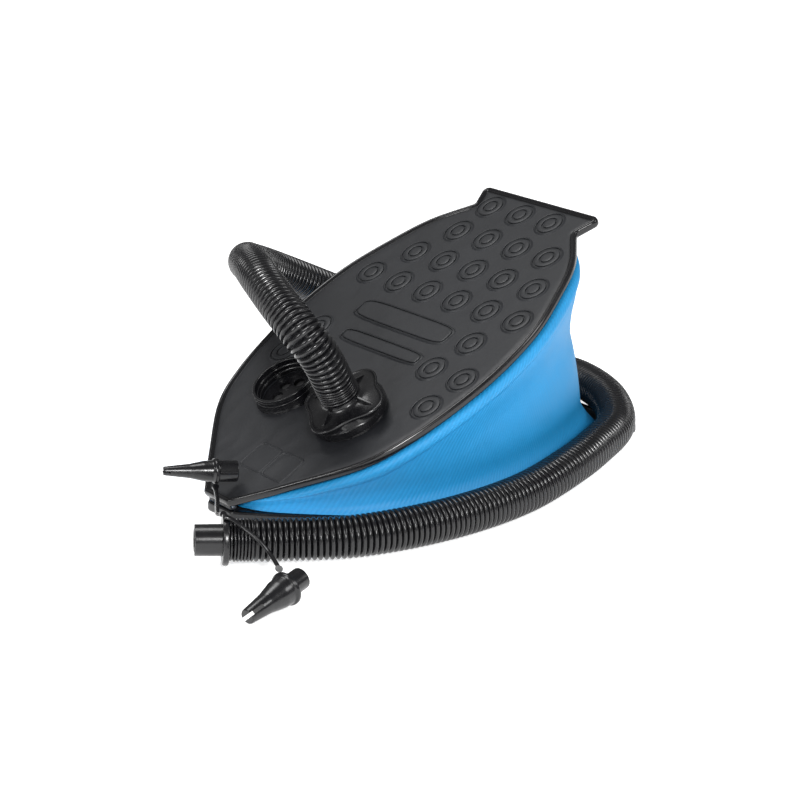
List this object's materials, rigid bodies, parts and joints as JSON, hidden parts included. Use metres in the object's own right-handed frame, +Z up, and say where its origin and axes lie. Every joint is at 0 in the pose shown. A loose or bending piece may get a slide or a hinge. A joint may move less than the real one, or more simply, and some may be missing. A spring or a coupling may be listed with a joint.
{
  "type": "foot air pump",
  "caption": "Free-standing foot air pump: wedge-shaped bellows between two hinged oval plates, a ribbed hose round it and tethered nozzles.",
  "frame": {"origin": "middle of the pump's footprint (hose and nozzles not counted), on the floor under the base plate", "axes": "+X from the hinged toe towards the wide raised end, +Z up, +Y towards the far long side (the intake port's side)"},
  "size_m": [0.3788, 0.2641, 0.1444],
  "materials": {
    "plate_plastic": "satin",
    "hose_plastic": "gloss",
    "bellows_fabric": "woven, coated",
    "seal_rubber": "matte",
    "spring_steel": "satin"
  },
  "bodies": {
    "base": {"base_plate": "plate_plastic", "hinge_pin": "spring_steel", "bellows": "bellows_fabric", "return_spring": "spring_steel", "spring_seat_lower": "plate_plastic", "seam_band_lower": "bellows_fabric", "hose_upper": "hose_plastic", "hose_lower": "hose_plastic", "hose_end": "hose_plastic", "tether_ring": "hose_plastic", "tether_strap_upper": "hose_plastic", "tether_strap_lower": "hose_plastic", "nozzle_tapered": "hose_plastic", "nozzle_forked": "hose_plastic"},
    "pedal": {"top_plate": "plate_plastic", "seam_band_upper": "bellows_fabric", "spring_seat_upper": "plate_plastic", "intake_neck": "plate_plastic", "outlet_neck": "plate_plastic", "intake_valve_seat": "plate_plastic", "outlet_valve_seat": "plate_plastic", "connector_gasket": "seal_rubber"},
    "connector": {"hose_connector": "hose_plastic"},
    "intake_flap": {"intake_flap": "seal_rubber"},
    "outlet_flap": {"outlet_flap": "seal_rubber"}
  },
  "joints": [
    {"name": "pedal_hinge", "type": "hinge", "parent": "base", "child": "pedal", "pos_m": [-0.137, 0, 0.0085], "axis": [0, -1, 0], "range_deg": [-22, 0], "stiffness_Nm_per_rad": 20, "springref_deg": 8.59, "deforming": ["bellows", "return_spring", "hose_upper"]},
    {"name": "intake_flap_hinge", "type": "hinge", "parent": "pedal", "child": "intake_flap", "pos_m": [-0.0776, 0.0304, 0.04269], "axis": [0, 1, 0], "range_deg": [0, 20], "stiffness_Nm_per_rad": 0.005, "springref_deg": -2.86},
    {"name": "outlet_flap_hinge", "type": "hinge", "parent": "pedal", "child": "outlet_flap", "pos_m": [-0.07919, -0.0304, 0.04569], "axis": [0, -1, 0], "range_deg": [0, 20], "stiffness_Nm_per_rad": 0.005, "springref_deg": -2.86},
    {"name": "connector_turn", "type": "hinge", "parent": "pedal", "child": "connector", "pos_m": [-0.06433, -0.0304, 0.04714], "axis": [-0.4695, 0, 0.8829], "range_deg": [0, 60]}
  ]
}
